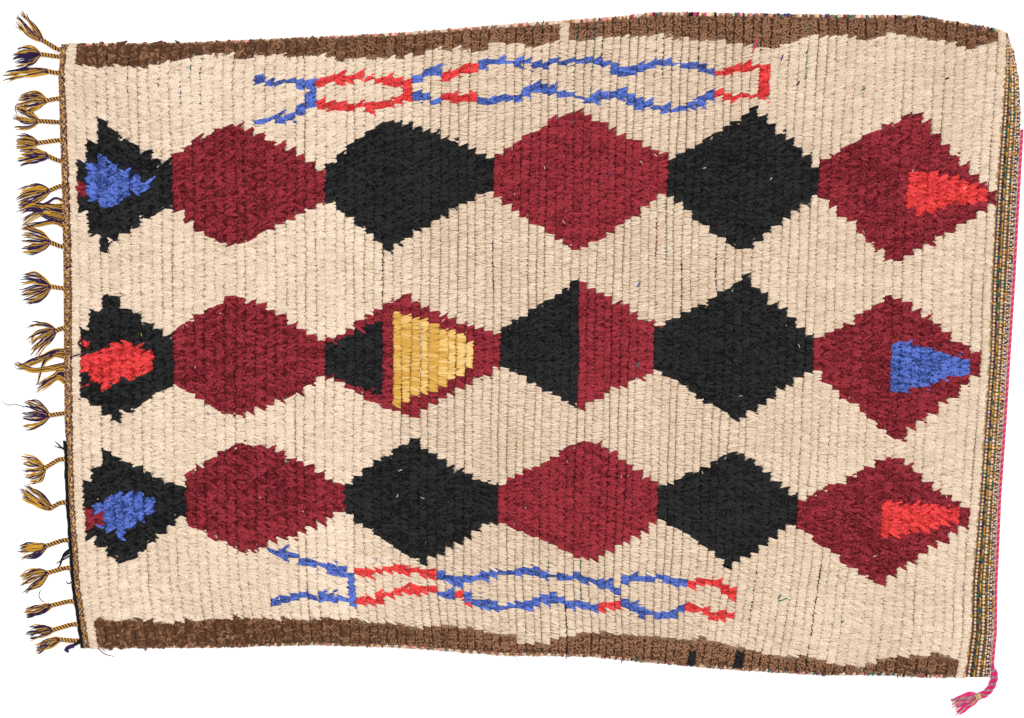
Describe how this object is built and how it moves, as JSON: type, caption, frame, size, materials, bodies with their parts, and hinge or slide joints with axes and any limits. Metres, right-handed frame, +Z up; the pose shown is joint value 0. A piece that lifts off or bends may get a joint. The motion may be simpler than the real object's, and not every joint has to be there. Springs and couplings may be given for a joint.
{
  "type": "azilal rug",
  "caption": "Hand-knotted wool rug with raised rows of pile, chains of lozenges, brown side borders, a striped flat-woven end and plied tassels along the other end.",
  "frame": {"origin": "on the underside, below the middle of the pile", "axes": "+X along the warps from the tasselled end to the flat-woven end, +Y across the rug, +Z up from the floor through the pile"},
  "size_m": [1.8636, 1.2822, 0.0162],
  "materials": {
    "cream_pile": "undyed cream wool, knotted pile with fine fibre sheen",
    "burgundy_pile": "burgundy dyed wool pile",
    "black_pile": "black wool pile",
    "brown_pile": "undyed brown wool pile",
    "red_pile": "bright red wool pile",
    "blue_pile": "blue wool pile",
    "yellow_pile": "golden yellow wool pile",
    "ground_weave": "tan woollen ground weave seen in the grooves",
    "flat_weave": "striped flat weave in salmon, gold, teal and navy wool",
    "edge_wrap": "selvedge wrapped in mixed wool ends",
    "twined_binding": "twined brown, gold and purple wool",
    "black_cord": "overcast black wool cord",
    "magenta_cord": "twined magenta wool cord",
    "tassel_wool": "plied gold wool",
    "tassel_purple": "plied dark purple wool"
  },
  "bodies": {
    "root": {"rug_cloth": "cream_pile", "end_binding": "twined_binding", "black_edge_cord": "black_cord", "magenta_end_cord": "magenta_cord", "tassel_01": "tassel_wool", "tassel_02": "tassel_wool", "tassel_03": "tassel_wool", "tassel_04": "tassel_wool", "tassel_05": "tassel_wool", "tassel_06": "tassel_wool", "tassel_07": "tassel_wool", "tassel_08": "tassel_wool", "tassel_09": "tassel_wool", "tassel_10": "tassel_wool", "tassel_11": "tassel_wool", "tassel_12": "tassel_wool", "tassel_13": "tassel_wool", "tassel_14": "tassel_wool", "tassel_15": "tassel_wool", "tassel_16": "tassel_wool", "tassel_17": "tassel_wool", "tassel_18": "tassel_wool", "tassel_19": "tassel_wool", "undone_tassel_1": "tassel_wool", "undone_tassel_2": "tassel_wool"}
  },
  "joints": []
}
